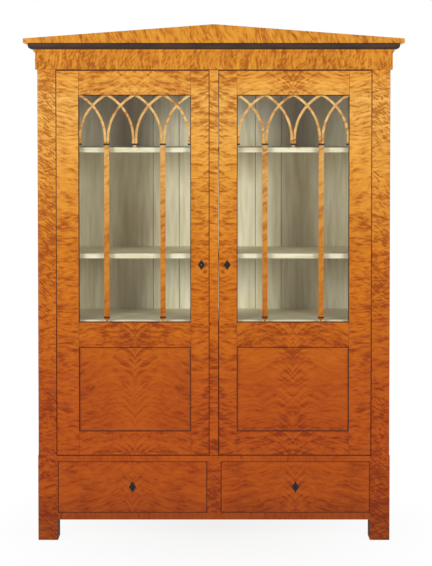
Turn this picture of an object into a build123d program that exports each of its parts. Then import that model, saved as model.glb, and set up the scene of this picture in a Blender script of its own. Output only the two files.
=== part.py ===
from build123d import *
from math import acos, degrees
import os

# Display cabinet in two parts: a base with two drawers, and an upper case with two glazed doors.
# X runs to the viewer's right, Y to the back and Z up. The origin is under the middle of the cabinet.

# Overall sizes, in mm
total_height = 2100.0
case_width = 1432.0
case_depth = 430.0
base_height = 346.0
base_step = 2.0
crown_overhang = 51.0

# Crown and frieze
pediment_rise = 57.0
pediment_edge = 18.0
pediment_thickness = 32.0
crown_return_bearing = 20.0
cornice_height = 24.0
cornice_foot = 19.0
cornice_round = 15.0
frieze_height = 81.0
frieze_proud = 7.5
fillet_height = 10.0
cove_radius = 6.0

# Case boards
side_thickness = 20.0
stile_depth = 28.0
case_stile_width = 74.0
base_stile_width = 81.0
stile_round = 7.0
board_thickness = 20.0
back_thickness = 12.0
back_member_width = 112.0
back_rail_height = 100.0
back_panel_thickness = 6.0
back_groove_depth = 8.0
muntin_places = (-207.0, 235.0)

# Base
foot_height = 84.0
front_foot_depth = 57.0
rear_foot_depth = 60.0
foot_width = 81.0
bottom_rail_height = 28.0
top_rail_height = 22.0
top_rail_depth = 60.0
divider_width = 56.0
bottom_board_thickness = 16.0
runner_width = 30.0
guide_height = 42.0

# Shelves
shelf_thickness = 20.0
shelf_end_gap = 0.5
lower_shelf_above_sill = 8.0
middle_shelf_above_lower = 271.0
upper_shelf_below_window_top = 214.0
cleat_size = 18.0
cleat_setback = 40.0

# Doors
door_thickness = 24.0
door_side_gap = 2.0
door_top_gap = 2.5
door_bottom_gap = 3.5
door_back_round = 8.0
outer_stile_width = 90.0
window_inner = 93.0
door_top_rail = 99.5
door_middle_rail = 100.0
door_bottom_rail = 96.5
door_panel_height = 346.0
rabbet_width = 8.0
rabbet_lip = 11.0
glass_thickness = 3.0
panel_thickness = 8.0
panel_recess = 6.0
seat_gap = 1.0
tenon_length = 40.0
tenon_thickness = 8.0
tenon_depth = 8.0
tenon_shoulder = 12.0
strip_half_width = 18.0
strip_proud = 4.0
strip_round = 3.0
strip_gap = 1.5
edge_round = 1.0

# Tracery
tracery_thickness = 8.0
tracery_recess = 3.0
arch_width = 10.0
arch_gap = 1.5
arch_overrun = 4.0  # degrees
arch_bays = 4
arch_rise = 178.0
arch_leg = 20.0
collars_below_top = 197.5
bar_width = 21.0
collar_width = 25.0
collar_height = 7.0
collar_proud = 1.0
pendant_width = 17.0
pendant_height = 14.0
lower_collar_height = 20.0

# Pivots, which are iron
pivot_inset = 12.0
pivot_depth = 6.0
pin_radius = 3.0
pin_clearance = 0.08
pin_length = 18.0
pin_end_gap = 1.0
plate_width = 12.0
plate_length = 26.0
plate_thickness = 2.5
plate_setback = 2.0
plate_top_gap = 1.5
plate_let_in = 18.0

# Drawers
drawer_gap = 1.5
drawer_front_thickness = 22.0
drawer_rear_gap = 28.0
drawer_side_thickness = 12.0
drawer_side_drop = 26.0
drawer_bottom_thickness = 6.0
drawer_bottom_lift = 6.0
drawer_groove_depth = 5.0
drawer_back_drop = 10.0
running_gap = 0.3
drawer_lap = 12.0

# Escutcheons and keyholes
door_escutcheon_size = (29.0, 42.0)
drawer_escutcheon_size = (31.0, 47.0)
escutcheon_thickness = 1.5
escutcheon_proud = 0.3
door_escutcheon_height = 1127.0
left_escutcheon_place = -51.0
right_escutcheon_place = 54.0
keyhole_radius = 2.8
keyhole_slot = 2.6
keyhole_drop = 9.0
blind_keyhole_depth = 8.0

# Locks and bolts
lock_wall = 2.0
lock_depth = 12.0
bolt_clearance = 0.3
door_lock_width = 52.0
door_lock_height = 70.0
door_lock_inset = 8.0
door_bolt_size = (8.0, 24.0)
door_bolt_length = 77.0
door_bolt_setback = 1.0
door_bolt_mortise = 11.5
drawer_lock_width = 60.0
drawer_lock_tail = 14.0
drawer_bolt_size = (20.0, 6.0)
drawer_bolt_length = 80.0
drawer_bolt_drop = 1.0
drawer_bolt_mortise = 9.0
flush_bolt_place = 36.0
flush_bolt_size = (12.0, 5.0)
flush_bolt_length = 178.0
flush_bolt_setback = 1.0
flush_bolt_depth = 10.0
flush_upper_travel = 12.0
flush_lower_travel = 10.0
flush_mortise_margin = 1.5
flush_knob_radius = 3.0
flush_knob_gap = 1.0
flush_knob_inset = 30.0

# Levels and faces that follow from the sizes
front = -(case_depth - crown_overhang) / 2
back = front + case_depth
case_half = case_width / 2
base_half = case_half + base_step
crown_low = total_height - pediment_rise - pediment_edge
cornice_low = crown_low - cornice_height
frieze_low = cornice_low - frieze_height
stile_back = front + stile_depth
back_face = back - back_thickness
inner_half = case_half - side_thickness
base_inner_half = base_half - side_thickness
opening_half = case_half - case_stile_width
drawer_opening_half = base_half - base_stile_width
drawer_low = foot_height + bottom_rail_height
drawer_high = base_height - top_rail_height
case_floor = base_height + board_thickness

door_edge = opening_half - door_side_gap
door_low = base_height + door_bottom_gap
door_high = frieze_low - door_top_gap
door_back = front + door_thickness
window_outer = door_edge - outer_stile_width
window_high = door_high - door_top_rail
panel_low = door_low + door_bottom_rail
panel_high = panel_low + door_panel_height
window_low = panel_high + door_middle_rail
right_door_start = strip_half_width + strip_gap
pivot_place = door_edge - pivot_inset
pivot_line = front + pivot_depth
plate_low_x = pivot_place - plate_width
plate_high_x = plate_low_x + plate_length
plate_high = door_high + plate_top_gap + plate_thickness

lower_shelf = window_low + lower_shelf_above_sill
middle_shelf = lower_shelf + middle_shelf_above_lower
upper_shelf = window_high - upper_shelf_below_window_top
shelf_levels = {"shelf_upper": upper_shelf, "shelf_middle": middle_shelf, "shelf_lower": lower_shelf}

sides = {"left": -1, "right": 1}
meeting_edges = {"left": strip_half_width, "right": right_door_start}
escutcheon_places = {"left": left_escutcheon_place, "right": right_escutcheon_place}

os.makedirs("parts", exist_ok=True)


def board(x, y, z, mode=Mode.ADD):
    """A squared piece between two places along each axis."""
    middle = tuple((low + high) / 2 for low, high in (x, y, z))
    with Locations(middle):
        Box(abs(x[1] - x[0]), abs(y[1] - y[0]), abs(z[1] - z[0]), mode=mode)


def front_plane(depth):
    """A drawing plane that faces the viewer, that far behind the case's front, drawn in X and Z."""
    return Plane(origin=(0, front + depth, 0), x_dir=(1, 0, 0), z_dir=(0, -1, 0))


def around(middle, size, gap=0.0):
    """The two places that a size spans about its middle, opened by a gap at each end."""
    return (middle - size / 2 - gap, middle + size / 2 + gap)


def lozenge(x, z, size):
    """A lozenge outline about a point of the front."""
    width, height = size
    with Locations((x, z)):
        Polygon((width / 2, 0), (0, height / 2), (-width / 2, 0), (0, -height / 2))


def keyhole(x, z, mode=Mode.ADD):
    """A keyhole outline: a round hole with a slot below it."""
    with Locations((x, z)):
        Circle(keyhole_radius, mode=mode)
    with Locations((x, z - keyhole_drop / 2)):
        Rectangle(keyhole_slot, keyhole_drop, mode=mode)


def outer_corner(piece, side):
    """The upright edge at the front outer corner."""
    return piece.edges().filter_by(Axis.Z).group_by(Axis.Y)[0].sort_by(Axis.X)[-1 if side > 0 else 0]


def save(piece, name):
    """Names a finished piece and writes it."""
    piece.part.label = name
    export_step(piece.part, f"parts/{name}.step")


plate_y = around(pivot_line + plate_setback, plate_width)

# Base

with BuildPart() as base_stiles:
    for side in sides.values():
        board((side * drawer_opening_half, side * base_half), (front, stile_back), (0, base_height))
    fillet([outer_corner(base_stiles, side) for side in sides.values()], radius=stile_round)
save(base_stiles, "base_stiles")

with BuildPart() as base_sides:
    for side in sides.values():
        board((side * base_inner_half, side * base_half), (stile_back, back), (foot_height, base_height))
save(base_sides, "base_sides")

with BuildPart() as foot_blocks:
    for side in sides.values():
        across = (side * (base_half - foot_width), side * base_half)
        board(across, (stile_back, stile_back + front_foot_depth), (0, foot_height))
        board(across, (back - rear_foot_depth, back), (0, foot_height))
save(foot_blocks, "foot_blocks")

with BuildPart() as base_bottom_rail:
    board((-drawer_opening_half, drawer_opening_half), (front, stile_back), (foot_height, drawer_low))
save(base_bottom_rail, "base_bottom_rail")

with BuildPart() as base_divider:
    board(around(0, divider_width), (front, stile_back), (drawer_low, drawer_high))
save(base_divider, "base_divider")

with BuildPart() as base_bottom_board:
    board((-base_inner_half, base_inner_half), (stile_back, back_face),
          (foot_height, foot_height + bottom_board_thickness))
save(base_bottom_board, "base_bottom_board")

with BuildPart() as base_back:
    board((-base_inner_half, base_inner_half), (back_face, back), (foot_height, base_height))
save(base_back, "base_back")

# The drawer front lies between its opening's edges, and its lock sits behind the keyhole.
drawer_inner = divider_width / 2 + drawer_gap
drawer_outer = drawer_opening_half - drawer_gap
drawer_middle = (drawer_inner + drawer_outer) / 2
drawer_front_z = (drawer_low + drawer_gap, drawer_high - drawer_gap)
drawer_key_height = sum(drawer_front_z) / 2
drawer_front_back = front + drawer_front_thickness
drawer_lock_y = (drawer_front_back - lock_depth, drawer_front_back)
drawer_bolt_y = around(drawer_front_back - lock_depth / 2 - lock_wall / 2, drawer_bolt_size[1])

with BuildPart() as base_top_rails:
    board((-drawer_opening_half, drawer_opening_half), (front, front + top_rail_depth),
          (drawer_high, base_height))
    board((-base_inner_half, base_inner_half), (back_face - top_rail_depth, back_face),
          (drawer_high, base_height))
    for side in sides.values():
        board(around(side * drawer_middle, drawer_bolt_size[0], bolt_clearance),
              (drawer_bolt_y[0] - bolt_clearance, drawer_bolt_y[1] + bolt_clearance),
              (drawer_high, drawer_high + drawer_bolt_mortise), mode=Mode.SUBTRACT)
    board(around(flush_bolt_place, flush_bolt_size[0], bolt_clearance),
          (front + flush_bolt_depth - bolt_clearance,
           front + flush_bolt_depth + flush_bolt_size[1] + bolt_clearance),
          (base_height - flush_lower_travel, base_height), mode=Mode.SUBTRACT)
save(base_top_rails, "base_top_rails")

# Runners lie on the bottom board, each worked in one piece with the guide beside it.
with BuildPart() as drawer_guides:
    guide_y = (stile_back, back_face)
    board_top = foot_height + bottom_board_thickness
    guide_z = (board_top, board_top + guide_height)
    runner_z = (board_top, drawer_low)
    kicker_y = (front + top_rail_depth, back_face - top_rail_depth)
    kicker_z = (drawer_high, base_height)
    kicker_start = drawer_opening_half - runner_width
    board(around(0, divider_width), guide_y, guide_z)
    board(around(0, divider_width, runner_width), guide_y, runner_z)
    board(around(0, divider_width, runner_width), kicker_y, kicker_z)
    for side in sides.values():
        board((side * drawer_opening_half, side * base_inner_half), guide_y, guide_z)
        board((side * kicker_start, side * drawer_opening_half), guide_y, runner_z)
        board((side * kicker_start, side * base_inner_half), kicker_y, kicker_z)
save(drawer_guides, "drawer_guides")

# Upper case

with BuildPart() as upper_stiles:
    for side in sides.values():
        board((side * opening_half, side * case_half), (front, stile_back), (base_height, frieze_low))
    fillet([outer_corner(upper_stiles, side) for side in sides.values()], radius=stile_round)
    for side in sides.values():
        board((side * opening_half, side * (opening_half + plate_let_in)), plate_y,
              (base_height, base_height + plate_thickness), mode=Mode.SUBTRACT)
save(upper_stiles, "upper_stiles")

with BuildPart() as upper_sides:
    for side in sides.values():
        board((side * inner_half, side * case_half), (stile_back, back), (base_height, frieze_low))
save(upper_sides, "upper_sides")

with BuildPart() as upper_bottom_board:
    board((-inner_half, inner_half), (stile_back, back), (base_height, case_floor))
save(upper_bottom_board, "upper_bottom_board")

with BuildPart() as upper_top_board:
    board((-case_half, case_half), (front, back), (cornice_low, crown_low))
save(upper_top_board, "upper_top_board")

# Mouldings run round the front and both sides, with mitres at the two front corners.
case_route = ((case_half, back), (case_half, front), (-case_half, front), (-case_half, back))
mitres = [
    Plane(origin=(side * case_half, front, 0), x_dir=(0, 0, 1), z_dir=(side, 1, 0))
    for side in sides.values()
]
moulding_start = Plane(origin=(case_half, back, 0), x_dir=(1, 0, 0), z_dir=(0, -1, 0))

with BuildPart() as frieze:
    with BuildLine() as frieze_route:
        Polyline(*case_route)
    with BuildSketch(moulding_start):
        with BuildLine():
            fillet_low = cornice_low - fillet_height
            fillet_face = frieze_proud + cove_radius
            Line((-side_thickness, frieze_low), (frieze_proud, frieze_low))
            Line((frieze_proud, frieze_low), (frieze_proud, fillet_low - cove_radius))
            RadiusArc((frieze_proud, fillet_low - cove_radius), (fillet_face, fillet_low), cove_radius)
            Line((fillet_face, fillet_low), (fillet_face, cornice_low))
            Line((fillet_face, cornice_low), (-side_thickness, cornice_low))
            Line((-side_thickness, cornice_low), (-side_thickness, frieze_low))
        make_face()
    sweep(path=frieze_route, transition=Transition.RIGHT)
    for side in sides.values():
        board((side * plate_low_x, side * plate_high_x), plate_y, (frieze_low, plate_high),
              mode=Mode.SUBTRACT)
    board(around(flush_bolt_place, flush_bolt_size[0], bolt_clearance),
          (front + flush_bolt_depth - bolt_clearance,
           front + flush_bolt_depth + flush_bolt_size[1] + bolt_clearance),
          (frieze_low, frieze_low + flush_upper_travel - flush_mortise_margin), mode=Mode.SUBTRACT)
    for mitre in mitres:
        split(bisect_by=mitre, keep=Keep.BOTH)
save(frieze, "frieze")

with BuildPart() as cornice_moulding:
    with BuildLine() as cornice_route:
        Polyline(*case_route)
    with BuildSketch(moulding_start):
        with BuildLine():
            cornice_face = cornice_foot + cornice_round
            Line((0, cornice_low), (cornice_foot, cornice_low))
            RadiusArc((cornice_foot, cornice_low), (cornice_face, cornice_low + cornice_round),
                      -cornice_round)
            Line((cornice_face, cornice_low + cornice_round), (cornice_face, crown_low))
            Line((cornice_face, crown_low), (0, crown_low))
            Line((0, crown_low), (0, cornice_low))
        make_face()
    sweep(path=cornice_route, transition=Transition.RIGHT)
    for mitre in mitres:
        split(bisect_by=mitre, keep=Keep.BOTH)
save(cornice_moulding, "cornice_moulding")

crown_half = case_half + crown_overhang
pediment_back = front - crown_overhang + pediment_thickness

with BuildPart() as pediment:
    with BuildSketch(front_plane(-crown_overhang)):
        with BuildLine():
            Polyline((-crown_half, crown_low), (crown_half, crown_low),
                     (crown_half, crown_low + pediment_edge), (0, total_height),
                     (-crown_half, crown_low + pediment_edge), close=True)
        make_face()
    extrude(amount=-pediment_thickness)
    chamfer(pediment.faces().sort_by(Axis.Y)[0].edges().sort_by(Axis.Z)[-2:], length=edge_round)
save(pediment, "pediment")

with BuildPart() as crown_returns:
    for side in sides.values():
        board((side * (case_half - crown_return_bearing), side * crown_half), (pediment_back, back),
              (crown_low, crown_low + pediment_edge))
save(crown_returns, "crown_returns")

# Framed back: upright members, rails between them, and panels in their grooves.
member_half = inner_half - back_member_width / 2
upright_places = (-member_half, *muntin_places, member_half)
back_z = (case_floor, cornice_low)
back_opening_z = (back_z[0] + back_rail_height, back_z[1] - back_rail_height)
back_bays = [
    (left + back_member_width / 2, right - back_member_width / 2)
    for left, right in zip(upright_places, upright_places[1:])
]
panel_y = around(back_face + back_thickness / 2, back_panel_thickness)


def back_panel_set(reach, mode):
    """The back's panels, reaching that far into the grooves round their openings."""
    for left, right in back_bays:
        board((left - reach, right + reach), panel_y,
              (back_opening_z[0] - reach, back_opening_z[1] + reach), mode=mode)


with BuildPart() as back_stiles:
    for place in (-member_half, member_half):
        board(around(place, back_member_width), (back_face, back), back_z)
    for place in muntin_places:
        board(around(place, back_member_width), (back_face, back), back_opening_z)
    back_panel_set(back_groove_depth, Mode.SUBTRACT)
save(back_stiles, "back_stiles")

with BuildPart() as back_rails:
    rail_half = member_half - back_member_width / 2
    board((-rail_half, rail_half), (back_face, back), (back_z[0], back_opening_z[0]))
    board((-rail_half, rail_half), (back_face, back), (back_opening_z[1], back_z[1]))
    back_panel_set(back_groove_depth, Mode.SUBTRACT)
save(back_rails, "back_rails")

with BuildPart() as back_panels:
    back_panel_set(back_groove_depth - seat_gap, Mode.ADD)
save(back_panels, "back_panels")

for name, level in shelf_levels.items():
    with BuildPart() as shelf:
        board(around(0, 2 * (inner_half - shelf_end_gap)), (stile_back, back_face - shelf_end_gap),
              (level - shelf_thickness, level))
        fillet(shelf.edges().filter_by(Axis.X).group_by(Axis.Y)[0], radius=edge_round)
    save(shelf, name)

with BuildPart() as shelf_cleats:
    for level in shelf_levels.values():
        for side in sides.values():
            board((side * (inner_half - cleat_size), side * inner_half),
                  (front + cleat_setback, back_face),
                  (level - shelf_thickness - cleat_size, level - shelf_thickness))
save(shelf_cleats, "shelf_cleats")

# A pivot plate is let in above and below each door, with its pin riveted to it.
with BuildPart() as door_pivots:
    for side in sides.values():
        pin_centre = (side * pivot_place, pivot_line)
        board((side * plate_low_x, side * plate_high_x), plate_y, (door_high + plate_top_gap, plate_high))
        board((side * plate_low_x, side * (opening_half + plate_let_in)), plate_y,
              (base_height, base_height + plate_thickness))
        with BuildSketch(Plane.XY.offset(door_high + plate_top_gap - pin_length)):
            with Locations(pin_centre):
                Circle(pin_radius)
        extrude(amount=pin_length)
        with BuildSketch(Plane.XY.offset(base_height + plate_thickness)):
            with Locations(pin_centre):
                Circle(pin_radius)
        extrude(amount=pin_length)
save(door_pivots, "door_pivots")

# Doors

tracery_back = front + tracery_recess + tracery_thickness
glass_y = (front + rabbet_lip, front + rabbet_lip + glass_thickness)
door_panel_y = (front + panel_recess, front + panel_recess + panel_thickness)
tenon_y = (front + tenon_depth, front + tenon_depth + tenon_thickness)
rail_levels = ((door_low, panel_low), (panel_high, window_low), (window_high, door_high))
collar_top = window_high - collars_below_top
upper_collar_z = (collar_top - collar_height, collar_top)
springing = collar_top + arch_leg
lower_collar_z = around(window_low + lower_collar_height, collar_height)
bay = (window_outer - window_inner) / arch_bays
arch_start = (arch_width + arch_gap) / 2
arch_span = bay - arch_start
arch_radius = (arch_span ** 2 + arch_rise ** 2) / (2 * arch_span)
arch_turn = degrees(acos((arch_radius - arch_span) / arch_radius)) + arch_overrun

lock_y = (door_back - lock_depth, door_back)
lock_x = (-strip_half_width - door_lock_inset - door_lock_width, -strip_half_width - door_lock_inset)
door_bolt_y = around(sum(lock_y) / 2 - lock_wall / 2, door_bolt_size[0])
door_bolt_slot = (
    (door_bolt_y[0] - bolt_clearance, door_bolt_y[1] + bolt_clearance),
    around(door_escutcheon_height, door_bolt_size[1], bolt_clearance),
)
flush_y = (front + flush_bolt_depth, front + flush_bolt_depth + flush_bolt_size[1])
flush_channel_y = (flush_y[0] - bolt_clearance, flush_y[1] + bolt_clearance)
flush_ends = {
    "upper": (door_high - flush_bolt_setback - flush_bolt_length, door_high - flush_bolt_setback),
    "lower": (door_low + flush_bolt_setback, door_low + flush_bolt_setback + flush_bolt_length),
}
flush_travels = {"upper": flush_upper_travel, "lower": flush_lower_travel}


def panel_space(side, reach, mode=Mode.ADD):
    """The door's panel, reaching that far into the grooves round its opening."""
    board((side * (window_inner - reach), side * (window_outer + reach)), door_panel_y,
          (panel_low - reach, panel_high + reach), mode=mode)


def window_space(side, reach, depth, mode=Mode.ADD):
    """The window's glass or its rabbet, reaching that far past the opening."""
    board((side * (window_inner - reach), side * (window_outer + reach)), depth,
          (window_low - reach, window_high + reach), mode=mode)


def tenons(side, mode=Mode.ADD):
    """The tenons of the three rails, at both ends."""
    for low, high in rail_levels:
        board((side * (window_inner - tenon_length), side * (window_outer + tenon_length)), tenon_y,
              (low + tenon_shoulder, high - tenon_shoulder), mode=mode)


for hand, side in sides.items():
    columns = [side * (window_inner + bay * step) for step in range(arch_bays + 1)]
    window_middle = side * (window_inner + window_outer) / 2
    window_width = window_outer - window_inner

    with BuildPart() as outer_stile:
        board((side * window_outer, side * door_edge), (front, door_back), (door_low, door_high))
        rear_corner = outer_stile.edges().filter_by(Axis.Z).group_by(Axis.Y)[-1].sort_by(Axis.X)
        fillet(rear_corner[-1 if side > 0 else 0], radius=door_back_round)
        fillet(outer_corner(outer_stile, side), radius=edge_round)
        panel_space(side, rabbet_width, Mode.SUBTRACT)
        window_space(side, rabbet_width, (front + rabbet_lip, door_back), Mode.SUBTRACT)
        tenons(side, Mode.SUBTRACT)
        pin_hole_depth = pin_length - plate_top_gap + pin_end_gap
        for hole_low in (door_high - pin_hole_depth, door_low):
            with BuildSketch(Plane.XY.offset(hole_low)):
                with Locations((side * pivot_place, pivot_line)):
                    Circle(pin_radius + pin_clearance)
            extrude(amount=pin_hole_depth, mode=Mode.SUBTRACT)
    save(outer_stile, f"{hand}_door_outer_stile")

    with BuildPart() as meeting_stile:
        board((side * meeting_edges[hand], side * window_inner), (front, door_back), (door_low, door_high))
        panel_space(side, rabbet_width, Mode.SUBTRACT)
        window_space(side, rabbet_width, (front + rabbet_lip, door_back), Mode.SUBTRACT)
        tenons(side, Mode.SUBTRACT)
        place = escutcheon_places[hand]
        with BuildSketch(front_plane(0)):
            lozenge(place, door_escutcheon_height, door_escutcheon_size)
        extrude(amount=-(escutcheon_thickness - escutcheon_proud), mode=Mode.SUBTRACT)
        with BuildSketch(front_plane(0)):
            keyhole(place, door_escutcheon_height)
        through = door_thickness - lock_depth
        extrude(amount=-(through if side < 0 else blind_keyhole_depth), mode=Mode.SUBTRACT)
        if side < 0:
            board(lock_x, lock_y, around(door_escutcheon_height, door_lock_height), Mode.SUBTRACT)
            board((lock_x[1], -strip_half_width), *door_bolt_slot, Mode.SUBTRACT)
        else:
            fillet(meeting_stile.edges().filter_by(Axis.Z).group_by(Axis.Y)[0].sort_by(Axis.X)[0],
                   radius=edge_round)
            board((right_door_start, right_door_start + door_bolt_mortise), *door_bolt_slot,
                  Mode.SUBTRACT)
            for low, high in ((flush_ends["upper"][0] - bolt_clearance, door_high),
                              (door_low, flush_ends["lower"][1] + bolt_clearance)):
                board(around(flush_bolt_place, flush_bolt_size[0], bolt_clearance), flush_channel_y,
                      (low, high), Mode.SUBTRACT)
            for name, (low, high) in flush_ends.items():
                knob = low + flush_knob_inset if name == "upper" else high - flush_knob_inset
                travel = flush_travels[name] * (1 if name == "upper" else -1)
                slot_low, slot_high = sorted((knob, knob + travel))
                reach = flush_knob_radius + flush_knob_gap
                board(around(flush_bolt_place, 2 * reach), (flush_channel_y[1], door_back),
                      (slot_low - reach, slot_high + reach), Mode.SUBTRACT)
    save(meeting_stile, f"{hand}_door_meeting_stile")

    with BuildPart() as rails:
        for low, high in rail_levels:
            board((side * window_inner, side * window_outer), (front, door_back), (low, high))
        tenons(side)
        panel_space(side, rabbet_width, Mode.SUBTRACT)
        window_space(side, rabbet_width, (front + rabbet_lip, door_back), Mode.SUBTRACT)
    save(rails, f"{hand}_door_rails")

    with BuildPart() as panel:
        panel_space(side, rabbet_width - seat_gap)
    save(panel, f"{hand}_door_panel")

    with BuildPart() as glass:
        window_space(side, rabbet_width - seat_gap, glass_y)
    save(glass, f"{hand}_door_glass")

    with BuildPart() as tracery:
        with BuildSketch(front_plane(tracery_recess)):
            for column, turned in [(c, t) for c in columns for t in (-1, 1)]:
                start = column + turned * arch_start
                if abs(column + turned * bay - window_middle) > (window_width + bay) / 2:
                    continue
                first = 180 if turned > 0 else 0
                with BuildLine():
                    CenterArc((start + turned * arch_radius, springing), arch_radius, first,
                              -turned * arch_turn)
                trace(line_width=arch_width)
            for column in columns:
                for turned in (-1, 1):
                    with Locations((column + turned * arch_start, (collar_top + springing) / 2)):
                        Rectangle(arch_width, arch_leg)
                with Locations((column, upper_collar_z[0])):
                    Polygon((-pendant_width / 2, 0), (0, -pendant_height), (pendant_width / 2, 0),
                            align=None)
            for column in columns[1::2]:
                with Locations((column, (upper_collar_z[0] + lower_collar_z[1]) / 2)):
                    Rectangle(bar_width, upper_collar_z[0] - lower_collar_z[1])
                with Locations((column, lower_collar_z[0])):
                    Polygon((-bar_width / 2, 0), (0, window_low - lower_collar_z[0]),
                            (bar_width / 2, 0), align=None)
            with Locations((window_middle, (window_low + window_high) / 2)):
                Rectangle(window_width, window_high - window_low, mode=Mode.INTERSECT)
        extrude(amount=-tracery_thickness)
    save(tracery, f"{hand}_door_tracery")

    with BuildPart() as collars:
        with BuildSketch(front_plane(tracery_recess - collar_proud)):
            for column in columns:
                with Locations((column, sum(upper_collar_z) / 2)):
                    Rectangle(collar_width, collar_height)
            for column in columns[1::2]:
                with Locations((column, sum(lower_collar_z) / 2)):
                    Rectangle(collar_width, collar_height)
            with Locations((window_middle, (window_low + window_high) / 2)):
                Rectangle(window_width, window_high - window_low, mode=Mode.INTERSECT)
        extrude(amount=-(tracery_thickness + collar_proud))
    save(collars, f"{hand}_door_collars")

    with BuildPart() as escutcheon:
        with BuildSketch(front_plane(-escutcheon_proud)):
            lozenge(place, door_escutcheon_height, door_escutcheon_size)
            keyhole(place, door_escutcheon_height, Mode.SUBTRACT)
        extrude(amount=-escutcheon_thickness)
    save(escutcheon, f"{hand}_door_escutcheon")

with BuildPart() as closing_strip:
    board(around(0, 2 * strip_half_width), (front - strip_proud, door_back), (door_low, door_high))
    front_edges = closing_strip.edges().filter_by(Axis.Z).group_by(Axis.Y)[0]
    fillet(front_edges, radius=strip_round)
    board(around(0, 2 * strip_half_width), *door_bolt_slot, Mode.SUBTRACT)
save(closing_strip, "left_door_closing_strip")

with BuildPart() as door_lock_case:
    lock_z = around(door_escutcheon_height, door_lock_height)
    board(lock_x, lock_y, lock_z)
    board((lock_x[0] + lock_wall, lock_x[1] - lock_wall), (lock_y[0], lock_y[1] - lock_wall),
          (lock_z[0] + lock_wall, lock_z[1] - lock_wall), Mode.SUBTRACT)
    board((lock_x[1] - lock_wall, lock_x[1]), *door_bolt_slot, Mode.SUBTRACT)
save(door_lock_case, "left_door_lock_case")

with BuildPart() as door_lock_bolt:
    bolt_end = strip_half_width - door_bolt_setback
    board((bolt_end - door_bolt_length, bolt_end), door_bolt_y,
          around(door_escutcheon_height, door_bolt_size[1]))
    fillet(door_lock_bolt.faces().sort_by(Axis.X)[-1].edges().filter_by(Axis.Z), radius=edge_round)
save(door_lock_bolt, "left_door_lock_bolt")

for name, (low, high) in flush_ends.items():
    knob = low + flush_knob_inset if name == "upper" else high - flush_knob_inset
    with BuildPart() as flush_bolt:
        board(around(flush_bolt_place, flush_bolt_size[0]), flush_y, (low, high))
        with BuildSketch(Plane(origin=(flush_bolt_place, flush_y[1], knob), z_dir=(0, 1, 0))):
            Circle(flush_knob_radius)
        extrude(amount=door_back - flush_y[1])
    save(flush_bolt, f"right_door_{name}_bolt")

# Drawers

drawer_side_z = (drawer_low + running_gap, drawer_high - drawer_side_drop)
drawer_bottom_z = (drawer_side_z[0] + drawer_bottom_lift,
                   drawer_side_z[0] + drawer_bottom_lift + drawer_bottom_thickness)
drawer_rear = back_face - drawer_rear_gap
drawer_back_z = (drawer_bottom_z[1], drawer_side_z[1] - drawer_back_drop)
drawer_lock_z = (drawer_key_height - drawer_lock_tail, drawer_front_z[1])
drawer_bolt_z = (drawer_front_z[1] - drawer_bolt_drop - drawer_bolt_length,
                 drawer_front_z[1] - drawer_bolt_drop)


def drawer_bottom_space(side, reach, mode=Mode.ADD):
    """The drawer's bottom, reaching that far into the grooves of the sides and the front."""
    board((side * (drawer_inner + drawer_side_thickness - reach),
           side * (drawer_outer - drawer_side_thickness + reach)),
          (drawer_front_back - reach, drawer_rear), drawer_bottom_z, mode=mode)


def drawer_side_set(side, mode=Mode.ADD):
    """Both drawer sides, lapped into the ends of the front."""
    for place in (drawer_inner, drawer_outer - drawer_side_thickness):
        board((side * place, side * (place + drawer_side_thickness)),
              (drawer_front_back - drawer_lap, drawer_rear), drawer_side_z, mode=mode)


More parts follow.
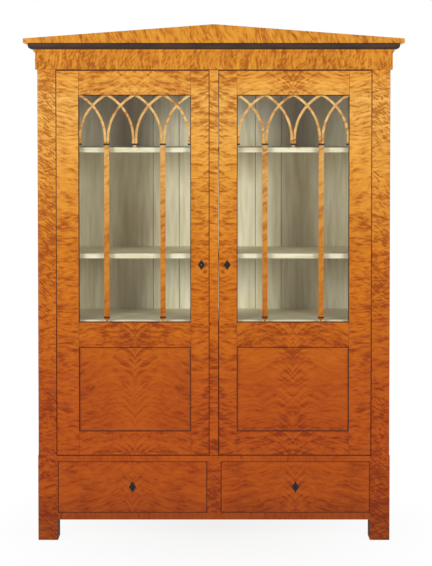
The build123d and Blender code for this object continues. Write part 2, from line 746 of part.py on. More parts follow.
for hand, side in sides.items():
    key_place = side * drawer_middle

    with BuildPart() as drawer_front:
        board((side * drawer_inner, side * drawer_outer), (front, drawer_front_back), drawer_front_z)
        fillet(drawer_front.faces().sort_by(Axis.Y)[0].edges(), radius=edge_round)
        drawer_side_set(side, Mode.SUBTRACT)
        drawer_bottom_space(side, drawer_groove_depth, Mode.SUBTRACT)
        with BuildSketch(front_plane(0)):
            lozenge(key_place, drawer_key_height, drawer_escutcheon_size)
        extrude(amount=-(escutcheon_thickness - escutcheon_proud), mode=Mode.SUBTRACT)
        with BuildSketch(front_plane(0)):
            keyhole(key_place, drawer_key_height)
        extrude(amount=-(drawer_front_thickness - lock_depth), mode=Mode.SUBTRACT)
        board(around(key_place, drawer_lock_width), drawer_lock_y, drawer_lock_z, Mode.SUBTRACT)
    save(drawer_front, f"{hand}_drawer_front")

    with BuildPart() as drawer_sides:
        drawer_side_set(side)
        drawer_bottom_space(side, drawer_groove_depth, Mode.SUBTRACT)
    save(drawer_sides, f"{hand}_drawer_sides")

    with BuildPart() as drawer_back:
        board((side * (drawer_inner + drawer_side_thickness),
               side * (drawer_outer - drawer_side_thickness)),
              (drawer_rear - drawer_side_thickness, drawer_rear), drawer_back_z)
    save(drawer_back, f"{hand}_drawer_back")

    with BuildPart() as drawer_bottom:
        drawer_bottom_space(side, drawer_groove_depth - seat_gap)
    save(drawer_bottom, f"{hand}_drawer_bottom")

    with BuildPart() as drawer_escutcheon:
        with BuildSketch(front_plane(-escutcheon_proud)):
            lozenge(key_place, drawer_key_height, drawer_escutcheon_size)
            keyhole(key_place, drawer_key_height, Mode.SUBTRACT)
        extrude(amount=-escutcheon_thickness)
    save(drawer_escutcheon, f"{hand}_drawer_escutcheon")

    with BuildPart() as drawer_lock_case:
        board(around(key_place, drawer_lock_width), drawer_lock_y, drawer_lock_z)
        board(around(key_place, drawer_lock_width - 2 * lock_wall),
              (drawer_lock_y[0], drawer_lock_y[1] - lock_wall),
              (drawer_lock_z[0] + lock_wall, drawer_lock_z[1] - lock_wall), Mode.SUBTRACT)
        board(around(key_place, drawer_bolt_size[0], bolt_clearance),
              (drawer_bolt_y[0] - bolt_clearance, drawer_bolt_y[1] + bolt_clearance),
              (drawer_lock_z[1] - lock_wall, drawer_lock_z[1]), Mode.SUBTRACT)
    save(drawer_lock_case, f"{hand}_drawer_lock_case")

    with BuildPart() as drawer_lock_bolt:
        board(around(key_place, drawer_bolt_size[0]), drawer_bolt_y, drawer_bolt_z)
    save(drawer_lock_bolt, f"{hand}_drawer_lock_bolt")
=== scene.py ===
from math import cos, radians, sin

import bmesh
import bpy
from mathutils import Matrix, Vector


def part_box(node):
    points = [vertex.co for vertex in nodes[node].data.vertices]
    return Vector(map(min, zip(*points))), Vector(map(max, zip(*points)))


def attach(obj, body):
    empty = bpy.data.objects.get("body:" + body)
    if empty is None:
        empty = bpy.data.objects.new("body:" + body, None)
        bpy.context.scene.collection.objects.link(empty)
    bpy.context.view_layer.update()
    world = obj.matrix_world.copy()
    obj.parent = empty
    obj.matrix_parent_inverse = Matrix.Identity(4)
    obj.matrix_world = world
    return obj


# A display cabinet of flame birch: this script adds beads, stringing, screws and a key pin to the packed
# pieces, gives every piece its finish, and sets up the studio and the camera. All lengths are in metres.

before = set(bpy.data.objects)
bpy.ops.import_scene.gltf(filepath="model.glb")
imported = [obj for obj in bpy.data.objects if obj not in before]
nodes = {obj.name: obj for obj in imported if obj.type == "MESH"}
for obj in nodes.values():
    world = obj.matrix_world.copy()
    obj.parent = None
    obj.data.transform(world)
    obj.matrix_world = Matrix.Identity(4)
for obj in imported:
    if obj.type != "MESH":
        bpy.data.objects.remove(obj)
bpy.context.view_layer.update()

# Places read from the frame
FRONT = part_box("upper_stiles")[0].y
DOOR_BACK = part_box("left_door_outer_stile")[1].y
INNER_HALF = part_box("upper_bottom_board")[1].x
FOOT_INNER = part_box("base_bottom_rail")[1].x
FOOT_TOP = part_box("base_bottom_rail")[0].z
BACK_MIDDLE = (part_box("back_panels")[0].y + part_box("back_panels")[1].y) / 2

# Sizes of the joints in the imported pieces
RABBET = 0.008
SEAT_GAP = 0.001
TENON = 0.040
VENEER = 0.0025
EASE = 0.0005

# Beads round the windows and panels, and behind the glass
BEAD_WIDTH = 0.0045
BEAD_SETBACK = 0.0012
BEAD_ROUND = 0.002
GLAZING_BEAD_ROUND = 0.003

# Dark stringing round the drawer fronts: painted shade that deepens the dark line of the gap round each
# drawer
STRING_WIDTH = 0.0016
STRING_INSET = 0.001
STRING_PROUD = 0.0003
STRING_DEPTH = 0.001

# Screws on the lock cases, and the pin on which the left door's key turns
SCREW_RADIUS = 0.0032
SCREW_HEAD = 0.0007
SCREW_INSET = 0.007
SCREW_TURN = 47
SLOT_EDGE = 8
RIM_STEPS = 12
KEY_PIN_RADIUS = 0.0021
KEY_PIN_TIP = 0.7
KEY_PIN_LENGTH = 0.010
KEY_PIN_DEPTH = 0.012

# Lines drawn by the finishes
JOINT_LINE = 0.0012
# Width of the painted shade along the edges of the doors where they meet a gap
GAP_SHADE_WIDTH = 0.0032
BACK_JOINT_LINE = 0.0011
BACK_JOINTS = (-0.263, -0.151, 0.179, 0.291)

# Scales of the figure and of the brush, in steps per metre across and along it. The finest lines of real
# birch and of a real brush are under 1 mm apart and are drawn coarser, so that they show at this size.
CURLS = (9.0, 9.0, 46.0)
RIPPLES = (28.0, 28.0, 115.0)
CLOUDS = (7.0, 7.0, 3.0)
PORES = (480.0, 480.0, 26.0)
STREAKS = (34.0, 34.0, 190.0)
STREAK_GROUPS = (11.0, 11.0, 5.0)
STREAK_TURN = -42
BARBS_ACROSS, BARBS_UP = 16.0, 85.0
BARE_GRAIN = (60.0, 60.0, 6.0)
BRUSH_UPRIGHT = (55.0, 55.0, 5.0)
BRUSH_LEVEL = (7.0, 70.0, 70.0)

# Flame birch is coloured darker and redder towards the floor: partly the wood's own tone, and partly painted
# shade where the light falls off towards the floor. The places are heights above the floor, as a share of 2
# m.
BIRCH_AND_SHADE_BY_HEIGHT = ((0.02, "#8F3F0E"), (0.06, "#943F0B"), (0.10, "#A24708"), (0.24, "#A34606"),
                   (0.33, "#A64B08"), (0.46, "#B35D0C"), (0.60, "#BC6C16"),
                   (0.75, "#CA862E"), (0.90, "#D59A46"), (0.97, "#CC8326"))
FIGURE_TINTS = ((0.0, (0.58, 0.40, 0.26)), (0.36, (0.90, 0.83, 0.76)),
                (0.62, (1.05, 1.08, 1.10)), (1.0, (1.17, 1.30, 1.50)))
BURR_TINTS = ((0.56, (1.0, 1.0, 1.0)), (0.70, (0.66, 0.42, 0.28)))
PAINT_STOPS = ((0.34, "#D3C4A0"), (0.62, "#EAE5CE"))

# The photograph's viewpoint, in metres, degrees and millimetres of lens
CAMERA_DISTANCE = 6.3
CAMERA_HEIGHT = 1.69
CAMERA_SIDE = 0.0085
LENS = 98.8
TILT = 1.79
SHIFT = -0.191


def paint(code):
    """An sRGB hex colour as linear red, green, blue and alpha."""
    parts = [int(code[i:i + 2], 16) / 255 for i in (1, 3, 5)]
    return tuple(c / 12.92 if c <= 0.04045 else ((c + 0.055) / 1.055) ** 2.4 for c in parts) + (1.0,)


def put(tree, kind, sockets=None, **settings):
    """Adds a shader node, with its settings, and values or links for its sockets."""
    made = tree.nodes.new("ShaderNode" + kind)
    for key, value in settings.items():
        setattr(made, key, value)
    for key, value in (sockets or {}).items():
        if isinstance(value, bpy.types.NodeSocket):
            tree.links.new(value, made.inputs[key])
        else:
            made.inputs[key].default_value = value
    return made


def blank(name):
    """A new material, its node tree and its output."""
    material = bpy.data.materials.new(name)
    material.use_nodes = True
    tree = material.node_tree
    tree.nodes.clear()
    return material, tree, tree.nodes.new("ShaderNodeOutputMaterial")


def show(tree, output, shader):
    """Sends a shader node to the material's surface."""
    tree.links.new(shader.outputs[0], output.inputs["Surface"])


def steps(tree, fac, stops):
    """A colour ramp over hex colours or linear tints."""
    made = put(tree, "ValToRGB", {"Fac": fac})
    ramp = made.color_ramp
    while len(ramp.elements) < len(stops):
        ramp.elements.new(0.5)
    for element, (place, value) in zip(ramp.elements, stops):
        element.position = place
        element.color = paint(value) if isinstance(value, str) else (*value, 1.0)
    return made.outputs["Color"]


def level(tree, operation, first, second=0.0, third=0.0, clamp=False):
    """One arithmetic step."""
    made = put(tree, "Math", {0: first, 1: second, 2: third}, operation=operation, use_clamp=clamp)
    return made.outputs[0]


def centred(tree, value, gain):
    """Noise about zero, with a gain."""
    return level(tree, "MULTIPLY", level(tree, "SUBTRACT", value, 0.5), gain)


def laid_over(tree, share, under, over):
    """One colour laid over another, as far as the share says."""
    return put(tree, "MixRGB", {"Fac": share, 1: under, 2: over}).outputs[0]


def stained(tree, share, colour, tint):
    """A colour multiplied by a tint, as far as the share says."""
    return put(tree, "MixRGB", {"Fac": share, 1: colour, 2: tint}, blend_type="MULTIPLY").outputs[0]


def seen_directly(tree):
    """1 for rays that come straight from the camera, or off metal or through glass, and 0 for the rest."""
    rays = put(tree, "LightPath").outputs
    return level(tree, "MAXIMUM", rays["Is Camera Ray"],
                 level(tree, "MAXIMUM", rays["Is Glossy Ray"], rays["Is Transmission Ray"]))


def flame_birch(name, grain="upright", mirror=None, slant=0.0, curl=1.0, streak=0.0, feather=None,
                burr=0.0, tone=None, seed=0.0, joint=None, core=False, painted=False, edges=None,
                feet=False):
    """French-polished flame birch veneer. Ripples in the trunk give silky bands across the grain, a forked
    trunk a feather about the middle of a matched pair, and the thin shellac a soft and warm gloss.
    feather is its strength, its rise away from the middle line, and its reach."""
    material, tree, output = blank(name)
    place = put(tree, "TexCoord").outputs["Object"]
    parts = put(tree, "SeparateXYZ", {0: place}).outputs
    across = parts["X"]
    if mirror is not None:
        across = level(tree, "ABSOLUTE", level(tree, "SUBTRACT", across, mirror))
    flat = put(tree, "CombineXYZ", {0: across, 1: level(tree, "ADD", parts["Y"], seed),
                                    2: parts["Z"]}).outputs[0]
    sway = put(tree, "TexNoise", {"Vector": flat, "Scale": 6.0, "Detail": 2.0}).outputs["Color"]
    wavy = put(tree, "MixRGB", {"Fac": 0.06, 1: flat, 2: sway}, blend_type="ADD").outputs[0]

    def figure(turn, scale, detail, distortion=0.0, source=wavy):
        spread = put(tree, "Mapping", {"Vector": source, "Rotation": (0, radians(turn), 0)}).outputs[0]
        spread = put(tree, "Mapping", {"Vector": spread, "Scale": scale}).outputs[0]
        return put(tree, "TexNoise", {"Vector": spread, "Scale": 1.0, "Detail": detail,
                                      "Distortion": distortion}).outputs["Fac"]

    turn = slant + (90.0 if grain == "level" else 0.0)
    curls = centred(tree, figure(turn, CURLS, 3.0, 0.5), 1.7 * curl)
    ripples = centred(tree, figure(turn, RIPPLES, 2.0, 0.3), 2.6 * curl)
    clouds = centred(tree, figure(turn, CLOUDS, 2.0), 0.9)
    pores = centred(tree, figure(turn, PORES, 2.0), 0.5)
    total = level(tree, "ADD", level(tree, "ADD", curls, ripples), level(tree, "ADD", clouds, pores))
    if streak:
        # Short dark streaks stand in groups and fall to the right.
        marks = figure(turn + STREAK_TURN, STREAKS, 2.0, 0.3)
        marks = level(tree, "MULTIPLY", level(tree, "SUBTRACT", marks, 0.52, clamp=True), -13.0 * streak)
        groups = level(tree, "SUBTRACT", figure(0, STREAK_GROUPS, 1.0), 0.36, clamp=True)
        total = level(tree, "MULTIPLY_ADD", marks, level(tree, "MULTIPLY", groups, 4.0, clamp=True), total)
    if feather:
        strength, rise, reach = feather
        curve = level(tree, "MULTIPLY", level(tree, "POWER", across, 0.6), rise)
        front = level(tree, "SUBTRACT", parts["Z"], curve)
        barbs = put(tree, "CombineXYZ", {0: level(tree, "MULTIPLY", across, BARBS_ACROSS), 1: seed,
                                         2: level(tree, "MULTIPLY", front, BARBS_UP)}).outputs[0]
        barbs = put(tree, "TexNoise", {"Vector": barbs, "Scale": 1.0, "Detail": 3.0,
                                       "Distortion": 0.5}).outputs["Fac"]
        fall = level(tree, "SUBTRACT", 1.0, level(tree, "DIVIDE", across, reach), clamp=True)
        total = level(tree, "MULTIPLY_ADD", centred(tree, barbs, 4.6 * strength), fall, total)
    total = level(tree, "ADD", total, 0.5, clamp=True)
    tint = steps(tree, total, FIGURE_TINTS)
    # The ground colour by height holds painted shade towards the floor as well as the wood's own tone.
    ground = steps(tree, level(tree, "MULTIPLY", parts["Z"], 0.5), BIRCH_AND_SHADE_BY_HEIGHT)
    colour = stained(tree, 1.0, ground, tint)
    if burr:
        spots = put(tree, "TexNoise", {"Vector": flat, "Scale": 34.0, "Detail": 3.0, "Distortion": 1.2})
        colour = stained(tree, burr, colour, steps(tree, spots.outputs["Fac"], BURR_TINTS))
    if tone:
        colour = stained(tree, 1.0, colour, (*tone, 1.0))
    if joint is not None:
        # The glue line between rail and stile shows as a fine dark line.
        line = level(tree, "GREATER_THAN", across, joint - JOINT_LINE)
        colour = laid_over(tree, line, colour, paint("#5A2E14"))
    if edges:
        # Painted shade darkens the edges that meet a gap: across, past, under and over the stated places.
        inner, outer, under, over = edges
        line = level(tree, "MAXIMUM", level(tree, "LESS_THAN", across, inner),
                     level(tree, "GREATER_THAN", across, outer))
        line = level(tree, "MAXIMUM", line, level(tree, "LESS_THAN", parts["Z"], under))
        line = level(tree, "MAXIMUM", line, level(tree, "GREATER_THAN", parts["Z"], over))
        colour = laid_over(tree, line, colour, paint("#4A1E08"))
    rough = level(tree, "MULTIPLY_ADD", pores, 0.10, 0.34)
    if core:
        # Behind the veneer the front is plain pine.
        behind = level(tree, "GREATER_THAN", parts["Y"], FRONT + VENEER)
        bare = steps(tree, figure(90, BARE_GRAIN, 3.0, source=flat), ((0.3, "#A87A45"), (0.7, "#C2955A")))
        colour = laid_over(tree, behind, colour, bare)
        rough = level(tree, "MULTIPLY_ADD", behind, 0.2, rough)
    if painted:
        # The faces inside the case carry the same thin paint as the shelves.
        inside = level(tree, "LESS_THAN", level(tree, "ABSOLUTE", parts["X"]), INNER_HALF + EASE)
        colour = laid_over(tree, inside, colour,
                           steps(tree, figure(0, BRUSH_UPRIGHT, 4.0, source=flat), PAINT_STOPS))
        rough = level(tree, "MULTIPLY_ADD", inside, 0.25, rough)
    if feet:
        # Painted shade: the inner faces of the feet, under the cabinet, are coloured dark and made dull.
        inside = level(tree, "LESS_THAN", level(tree, "ABSOLUTE", parts["X"]), FOOT_INNER + EASE)
        inside = level(tree, "MULTIPLY", inside, level(tree, "LESS_THAN", parts["Z"], FOOT_TOP - EASE))
        colour = laid_over(tree, inside, colour, paint("#4A2513"))
        rough = level(tree, "MAXIMUM", rough, inside)
    bump = put(tree, "Bump", {"Height": total, "Strength": 0.05, "Distance": 0.001}).outputs[0]
    show(tree, output, put(tree, "BsdfPrincipled", {"Base Color": colour, "Roughness": rough,
                                                    "Normal": bump, "Specular IOR Level": 0.15,
                                                    "Coat Weight": 0.06, "Coat Roughness": 0.12}))
    return material


def plain_finish(name, light, dark, scale, roughness, metallic=0.0, coat=0.0):
    """A finish of two near colours, broken up by noise of a stated scale in each direction."""
    material, tree, output = blank(name)
    place = put(tree, "TexCoord").outputs["Object"]
    spread = put(tree, "Mapping", {"Vector": place, "Scale": scale}).outputs[0]
    grain = put(tree, "TexNoise", {"Vector": spread, "Scale": 1.0, "Detail": 4.0}).outputs["Fac"]
    colour = steps(tree, grain, ((0.30, dark), (0.70, light)))
    normal = put(tree, "Bump", {"Height": grain, "Strength": 0.2, "Distance": 0.0005}).outputs[0]
    rough = level(tree, "MULTIPLY_ADD", grain, 0.2, roughness - 0.1)
    show(tree, output, put(tree, "BsdfPrincipled", {"Base Color": colour, "Roughness": rough,
                                                    "Normal": normal, "Metallic": metallic,
                                                    "Coat Weight": coat, "Specular IOR Level": 0.3}))
    return material


def dovetailed_pine(name, joint_end, low, pitch):
    """Planed pine drawer sides, whose front ends show the front's darker pins between their own tails."""
    material, tree, output = blank(name)
    place = put(tree, "TexCoord").outputs["Object"]
    parts = put(tree, "SeparateXYZ", {0: place}).outputs
    spread = put(tree, "Mapping", {"Vector": place, "Scale": (60.0, 8.0, 90.0)}).outputs[0]
    grain = put(tree, "TexNoise", {"Vector": spread, "Scale": 1.0, "Detail": 4.0}).outputs["Fac"]
    colour = steps(tree, grain, ((0.3, "#A87F4C"), (0.7, "#C39A63")))
    rise = level(tree, "DIVIDE", level(tree, "SUBTRACT", parts["Z"], low), pitch)
    off_middle = level(tree, "ABSOLUTE", level(tree, "SUBTRACT", level(tree, "FRACT", rise), 0.5))
    ahead = level(tree, "SUBTRACT", joint_end, parts["Y"])
    edge = level(tree, "MULTIPLY_ADD", ahead, 8.0, 0.30)
    pin = level(tree, "MULTIPLY", level(tree, "GREATER_THAN", off_middle, edge),
                level(tree, "GREATER_THAN", ahead, 0.0))
    colour = laid_over(tree, pin, colour, paint("#7E5830"))
    normal = put(tree, "Bump", {"Height": grain, "Strength": 0.2, "Distance": 0.0005}).outputs[0]
    show(tree, output, put(tree, "BsdfPrincipled", {"Base Color": colour, "Roughness": 0.55,
                                                    "Normal": normal, "Specular IOR Level": 0.3}))
    return material


def brushed_paint(name, grain, gaps=()):
    """Thin grey-white distemper brushed on pine: chalky, with streaks where the board shows through."""
    material, tree, output = blank(name)
    place = put(tree, "TexCoord").outputs["Object"]
    spread = put(tree, "Mapping", {"Vector": place, "Scale": grain}).outputs[0]
    stroke = put(tree, "TexNoise", {"Vector": spread, "Scale": 1.0, "Detail": 5.0,
                                    "Distortion": 0.3}).outputs["Fac"]
    cloud = put(tree, "TexNoise", {"Vector": place, "Scale": 4.0, "Detail": 2.0}).outputs["Fac"]
    mixed = level(tree, "ADD", level(tree, "MULTIPLY", stroke, 0.7), level(tree, "MULTIPLY", cloud, 0.3))
    colour = steps(tree, mixed, PAINT_STOPS)
    parts = put(tree, "SeparateXYZ", {0: place}).outputs
    # The outside of the back is left as planed pine.
    outside = level(tree, "GREATER_THAN", parts["Y"], BACK_MIDDLE)
    colour = laid_over(tree, outside, colour, steps(tree, stroke, ((0.3, "#9C7444"), (0.7, "#BC9462"))))
    for gap in gaps:
        line = level(tree, "COMPARE", parts["X"], gap, BACK_JOINT_LINE)
        colour = laid_over(tree, line, colour, paint("#57604F"))
    normal = put(tree, "Bump", {"Height": stroke, "Strength": 0.25, "Distance": 0.0006}).outputs[0]
    show(tree, output, put(tree, "BsdfPrincipled", {"Base Color": colour, "Roughness": 0.62,
                                                    "Normal": normal, "Specular IOR Level": 0.3}))
    return material


def window_glass(name):
    """Clear old window glass: almost unseen from in front, and a mirror where it is seen along its face."""
    material, tree, output = blank(name)
    facing = put(tree, "LayerWeight", {"Blend": 0.5}).outputs["Facing"]
    mirrored = level(tree, "MULTIPLY_ADD", level(tree, "POWER", facing, 5.0), 0.9, 0.02)
    clear = put(tree, "BsdfTransparent", {"Color": paint("#FDFEFC")}).outputs[0]
    mirror = put(tree, "BsdfGlossy", {"Color": paint("#F2F4F2"), "Roughness": 0.03}).outputs[0]
    show(tree, output, put(tree, "MixShader", {0: mirrored, 1: clear, 2: mirror}))
    return material


def middle_x(name):
    """The middle of a node along X."""
    low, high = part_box(name)
    return (low.x + high.x) / 2


# Flame birch. Each door and each drawer has its own matched pair of leaves about its middle line.
door_x = [middle_x(f"{hand}_door_rails") for hand in ("left", "right")]
drawer_x = [middle_x(f"{hand}_drawer_front") for hand in ("left", "right")]
rails_low, rails_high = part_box("left_door_rails")
window_half = (rails_high.x - rails_low.x) / 2 - TENON
stile_low, stile_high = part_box("right_door_outer_stile")
# The stiles and rails carry painted shade along their edges at the gaps of the doors.
meeting_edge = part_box("right_door_meeting_stile")[0].x + GAP_SHADE_WIDTH / 2
hinge_edge = stile_high.x - GAP_SHADE_WIDTH / 2
lower_edge, upper_edge = stile_low.z + GAP_SHADE_WIDTH / 2, stile_high.z - GAP_SHADE_WIDTH
stile_birch = flame_birch("FlameBirch_stiles", mirror=0.0, slant=6, curl=0.9, seed=1.3,
                          feather=(0.6, -0.30, 0.09),
                          edges=(meeting_edge, hinge_edge, lower_edge, upper_edge))
case_birch = flame_birch("FlameBirch_case", slant=8, curl=0.8, streak=1.0, seed=4.1, feet=True)
side_birch = flame_birch("FlameBirch_sides", slant=8, curl=0.9, streak=0.5, seed=5.3, painted=True)
level_birch = flame_birch("FlameBirch_level", grain="level", curl=0.45, seed=2.2, core=True)
frieze_birch = flame_birch("FlameBirch_frieze", grain="level", curl=0.8, streak=0.4, seed=7.7,
                           tone=(0.93, 0.95, 1.0))
crown_birch = flame_birch("FlameBirch_crown", grain="level", slant=22, curl=0.9, seed=5.5,
                          tone=(0.93, 0.96, 1.05))
panel_birch = [flame_birch(f"FlameBirch_panel_{i}", mirror=x, slant=-12, curl=0.5, seed=3 + i,
                           feather=(0.75, 0.30, 0.11)) for i, x in enumerate(door_x)]
# The rails have painted shade on their edges above and below only, so the places across lie past their ends.
rail_birch = [flame_birch(f"FlameBirch_rails_{i}", mirror=x, slant=-14, curl=0.8, seed=9 + i, burr=0.5,
                          feather=(0.7, 0.34, 0.16), joint=window_half,
                          edges=(-1.0, 1.0, lower_edge, upper_edge)) for i, x in enumerate(door_x)]
drawer_birch = [flame_birch(f"FlameBirch_drawer_{i}", mirror=x, slant=-14, curl=0.55, seed=12 + i,
                            feather=(0.8, 0.34, 0.07), core=True) for i, x in enumerate(drawer_x)]
strip_birch = flame_birch("FlameBirch_strip", slant=-6, curl=1.0, seed=15)
# The tracery is coloured paler and creamier than the veneer round it: painted highlight for the light its
# thin rounded bars catch.
highlit_tracery_birch = flame_birch("Birch_tracery", slant=30, curl=0.8, tone=(0.96, 1.20, 2.4), seed=17)

# Distemper on the back boards, brushed upwards, and on the shelves, brushed along them
paint_upright = brushed_paint("Brushed_paint_upright", BRUSH_UPRIGHT, BACK_JOINTS)
paint_level = brushed_paint("Brushed_paint_level", BRUSH_LEVEL)

# Pearwood stained black and waxed: the collars keep a faint brown sheen.
ebonised = plain_finish("Ebonised_pearwood", "#1C0F0B", "#0E0705", (30.0, 200.0, 200.0), 0.42, coat=0.05)
# Birch stained dark brown, dull in the corners where the polish can't be rubbed
bead_brown = plain_finish("Dark_stained_bead", "#33130A", "#1C0A05", (40.0, 40.0, 40.0), 0.5)
# The black of the long moulding is worn, so that brown wood shows through along it.
moulding_black = plain_finish("Ebonised_moulding", "#3C2617", "#24150D", (12.0, 60.0, 60.0), 0.42,
                              coat=0.05)
# Bare planed pine, which has gone golden brown and stays dull
pine = plain_finish("Planed_pine", "#C39A63", "#A87F4C", (8.0, 60.0, 90.0), 0.55)
side_low, side_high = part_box("left_drawer_sides")
dovetailed = dovetailed_pine("Dovetailed_pine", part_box("left_drawer_front")[1].y, side_low.z,
                             (side_high.z - side_low.z) / 4)
# Dark horn, cut thin and polished: nearly black with a soft shine
horn = plain_finish("Polished_horn", "#150C09", "#0A0504", (90.0, 90.0, 60.0), 0.34, coat=0.05)
# Filed and handled iron, grey and half dull
iron = plain_finish("Worn_iron", "#6B6660", "#4A4641", (220.0, 220.0, 220.0), 0.42, metallic=0.9)
# Iron coloured near black, painted shade that keeps the pivots as dark as the gaps of the doors they sit in,
# and dull so that they don't shine there
gap_shaded_iron = plain_finish("Gap_shaded_iron", "#2C211A", "#17110D", (220.0, 220.0, 220.0), 0.55, metallic=0.4)
# Steel kept bright by the key
bright_steel = plain_finish("Worn_bright_steel", "#C8C6C0", "#9A978F", (300.0, 300.0, 300.0), 0.3,
                            metallic=1.0)
glass = window_glass("Window_glass")


def dress(material, *names):
    """Gives CAD nodes their finish."""
    for name in names:
        nodes[name].data.materials.clear()
        nodes[name].data.materials.append(material)


dress(case_birch, "upper_stiles", "base_stiles", "base_divider", "foot_blocks")
dress(side_birch, "upper_sides", "base_sides")
dress(level_birch, "base_bottom_rail", "base_top_rails")
dress(frieze_birch, "frieze")
dress(crown_birch, "pediment", "crown_returns")
dress(moulding_black, "cornice_moulding")
dress(pine, "base_bottom_board", "base_back", "drawer_guides", "upper_top_board")
dress(paint_level, "shelf_upper", "shelf_middle", "shelf_lower", "shelf_cleats", "upper_bottom_board")
dress(paint_upright, "back_stiles", "back_rails", "back_panels")
dress(gap_shaded_iron, "door_pivots")
dress(strip_birch, "left_door_closing_strip")
dress(iron, "left_door_lock_case", "left_door_lock_bolt", "right_door_upper_bolt", "right_door_lower_bolt")
for i, hand in enumerate(("left", "right")):
    dress(stile_birch, f"{hand}_door_outer_stile", f"{hand}_door_meeting_stile")
    dress(rail_birch[i], f"{hand}_door_rails")
    dress(panel_birch[i], f"{hand}_door_panel")
    dress(glass, f"{hand}_door_glass")
    dress(highlit_tracery_birch, f"{hand}_door_tracery")
    dress(ebonised, f"{hand}_door_collars")
    dress(horn, f"{hand}_door_escutcheon", f"{hand}_drawer_escutcheon")
    dress(drawer_birch[i], f"{hand}_drawer_front")
    dress(dovetailed, f"{hand}_drawer_sides")
    dress(pine, f"{hand}_drawer_back", f"{hand}_drawer_bottom")
    dress(iron, f"{hand}_drawer_lock_case", f"{hand}_drawer_lock_bolt")


def finish_piece(mesh, name, material, body):
    """Turns a bmesh into a finished piece that rides on a body."""
    bmesh.ops.recalc_face_normals(mesh, faces=mesh.faces)
    data = bpy.data.meshes.new(name)
    mesh.to_mesh(data)
    mesh.free()
    piece = bpy.data.objects.new(name, data)
    bpy.context.scene.collection.objects.link(piece)
    data.materials.append(material)
    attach(piece, body)
    return piece


def raise_along_y(mesh, faces, distance):
    """Gives flat faces a thickness along Y."""
    made = bmesh.ops.extrude_face_region(mesh, geom=faces)
    moved = [g for g in made["geom"] if isinstance(g, bmesh.types.BMVert)]
    bmesh.ops.translate(mesh, vec=(0, distance, 0), verts=moved)


def ring(low, high, width, y_front, y_back, round_over):
    """A mitred frame of small section just inside a rectangle of X and Z, its inner front edge rounded."""
    mesh = bmesh.new()
    bmesh.ops.create_grid(mesh, x_segments=1, y_segments=1, size=0.5)
    size = Matrix.Diagonal((high[0] - low[0], high[1] - low[1], 1, 1))
    upright = Matrix.Rotation(radians(90), 4, "X")
    middle = Matrix.Translation(((low[0] + high[0]) / 2, y_front, (low[1] + high[1]) / 2))
    bmesh.ops.transform(mesh, matrix=middle @ upright @ size, verts=mesh.verts)
    field = mesh.faces[:]
    bmesh.ops.inset_region(mesh, faces=field, thickness=width, use_boundary=True)
    bmesh.ops.delete(mesh, geom=field, context="FACES")
    inner = [e for e in mesh.edges if e.is_boundary
             and low[0] + width / 2 < sum(v.co.x for v in e.verts) / 2 < high[0] - width / 2
             and low[1] + width / 2 < sum(v.co.z for v in e.verts) / 2 < high[1] - width / 2]
    raise_along_y(mesh, mesh.faces[:], y_back - y_front)
    if round_over:
        bmesh.ops.bevel(mesh, geom=inner, offset=round_over, segments=3, profile=0.5,
                        affect="EDGES", material=-1)
    return mesh


def inset_box(low, high, distance):
    """The corners, in X and Z, of a box that is smaller by a distance all round."""
    return (low.x + distance, low.z + distance), (high.x - distance, high.z - distance)


# Dark beads cover the joints round each window and each panel, and a birch bead holds the glass from behind.
for hand in ("left", "right"):
    body = f"{hand}_door"
    glass_low, glass_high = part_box(f"{hand}_door_glass")
    panel_low, panel_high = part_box(f"{hand}_door_panel")
    sight_inset = RABBET - SEAT_GAP
    finish_piece(ring(*inset_box(glass_low, glass_high, sight_inset), BEAD_WIDTH, FRONT + BEAD_SETBACK,
                      glass_low.y, BEAD_ROUND),
                 f"{hand}_window_bead", bead_brown, body)
    finish_piece(ring(*inset_box(panel_low, panel_high, sight_inset), BEAD_WIDTH, FRONT + BEAD_SETBACK,
                      panel_low.y, BEAD_ROUND),
                 f"{hand}_panel_bead", bead_brown, body)
    finish_piece(ring(*inset_box(glass_low, glass_high, -SEAT_GAP), RABBET - SEAT_GAP, DOOR_BACK - EASE,
                      glass_high.y, GLAZING_BEAD_ROUND),
                 f"{hand}_glazing_bead", stile_birch, body)
    # A dark string round each drawer front, painted shade that deepens the line of the gap round the drawer
    finish_piece(ring(*inset_box(*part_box(f"{hand}_drawer_front"), STRING_INSET), STRING_WIDTH,
                      FRONT - STRING_PROUD, FRONT + STRING_DEPTH, 0.0),
                 f"{hand}_drawer_stringing", bead_brown, f"{hand}_drawer")


def screws(name, body, lock_case, y, slant):
    """Slotted countersunk heads at a lock case's four corners: two half discs with the slot between them."""
    low, high = inset_box(*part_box(lock_case), SCREW_INSET)
    mesh = bmesh.new()
    for number, (x, z) in enumerate((x, z) for x in (low[0], high[0]) for z in (low[1], high[1])):
        turn = Matrix.Rotation(radians(slant + SCREW_TURN * number), 4, "Y")
        for half in (1, -1):
            rim = []
            for step in range(RIM_STEPS + 1):
                angle = radians(SLOT_EDGE + step * (180 - 2 * SLOT_EDGE) / RIM_STEPS)
                rim.append(turn @ Vector((SCREW_RADIUS * cos(angle), 0, half * SCREW_RADIUS * sin(angle))))
            face = mesh.faces.new([mesh.verts.new(v + Vector((x, y, z))) for v in rim])
            raise_along_y(mesh, [face], SCREW_HEAD)
    return finish_piece(mesh, name, iron, body)


screws("left_door_lock_screws", "left_door", "left_door_lock_case", DOOR_BACK, 20)
for hand, slant in (("left", 65), ("right", 10)):
    lock_case = f"{hand}_drawer_lock_case"
    screws(f"{hand}_drawer_lock_screws", f"{hand}_drawer", lock_case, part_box(lock_case)[1].y, slant)

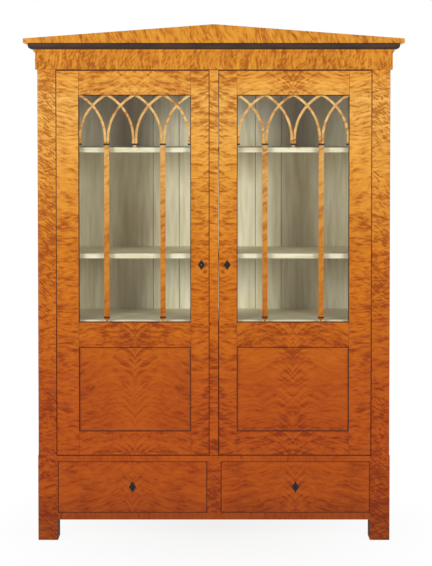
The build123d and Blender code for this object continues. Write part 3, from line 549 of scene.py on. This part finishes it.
# The pin on which the left door's key turns shows as a bright point in its keyhole.
key_low, key_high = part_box("left_door_escutcheon")
mesh = bmesh.new()
bmesh.ops.create_cone(mesh, cap_ends=True, segments=20, radius1=KEY_PIN_RADIUS,
                      radius2=KEY_PIN_RADIUS * KEY_PIN_TIP, depth=KEY_PIN_LENGTH)
pin_place = Matrix.Translation(((key_low.x + key_high.x) / 2, FRONT + KEY_PIN_DEPTH - KEY_PIN_LENGTH / 2,
                                (key_low.z + key_high.z) / 2))
bmesh.ops.transform(mesh, verts=mesh.verts, matrix=pin_place @ Matrix.Rotation(radians(90), 4, "X"))
finish_piece(mesh, "left_door_key_pin", bright_steel, "left_door")

# A pale floor that keeps the cabinet's shadow and is plain white away from it
mesh = bmesh.new()
bmesh.ops.create_grid(mesh, x_segments=1, y_segments=1, size=9.0)
floor_data = bpy.data.meshes.new("floor")
mesh.to_mesh(floor_data)
mesh.free()
floor = bpy.data.objects.new("floor", floor_data)
bpy.context.scene.collection.objects.link(floor)
material, tree, output = blank("Studio_floor")
diffuse = put(tree, "BsdfDiffuse", {"Color": paint("#E6E4E0")}).outputs[0]
white = put(tree, "Emission", {"Color": (1, 1, 1, 1), "Strength": 1.0}).outputs[0]
place = put(tree, "TexCoord").outputs["Object"]
away = put(tree, "VectorMath", {0: place}, operation="LENGTH").outputs["Value"]
bright = level(tree, "MULTIPLY_ADD", level(tree, "SUBTRACT", away, 0.7), 0.15, 0.95, clamp=True)
share = level(tree, "MULTIPLY", seen_directly(tree), bright)
show(tree, output, put(tree, "MixShader", {0: share, 1: diffuse, 2: white}))
floor_data.materials.append(material)

# White surroundings to look at, with only a low even fill for light
world = bpy.data.worlds.new("Studio")
bpy.context.scene.world = world
world.use_nodes = True
tree = world.node_tree
tree.nodes.clear()
fill = put(tree, "Background", {"Color": paint("#F3F3F1"), "Strength": 0.24}).outputs[0]
white = put(tree, "Background", {"Color": (1, 1, 1, 1), "Strength": 1.0}).outputs[0]
show(tree, put(tree, "OutputWorld"),
     put(tree, "MixShader", {0: seen_directly(tree), 1: fill, 2: white}))


def soft_light(name, place, target, width, height, power):
    """A large soft area lamp aimed at a point."""
    lamp = bpy.data.lights.new(name, "AREA")
    lamp.shape = "RECTANGLE"
    lamp.size = width
    lamp.size_y = height
    lamp.energy = power
    stand = bpy.data.objects.new(name, lamp)
    bpy.context.scene.collection.objects.link(stand)
    stand.location = place
    stand.rotation_euler = (Vector(target) - Vector(place)).to_track_quat("-Z", "Y").to_euler()


soft_light("left_softbox", (-3.7, -4.3, 2.2), (0, 0, 1.3), 1.4, 1.8, 190)
soft_light("right_softbox", (3.7, -4.3, 2.2), (0, 0, 1.3), 1.4, 1.8, 165)

camera_data = bpy.data.cameras.new("camera")
camera = bpy.data.objects.new("camera", camera_data)
bpy.context.scene.collection.objects.link(camera)
camera_data.lens = LENS
camera_data.shift_y = SHIFT
camera.location = (CAMERA_SIDE, FRONT - CAMERA_DISTANCE, CAMERA_HEIGHT)
camera.rotation_euler = (radians(90 - TILT), 0, 0)
bpy.context.scene.camera = camera
bpy.context.scene.view_settings.view_transform = "Standard"
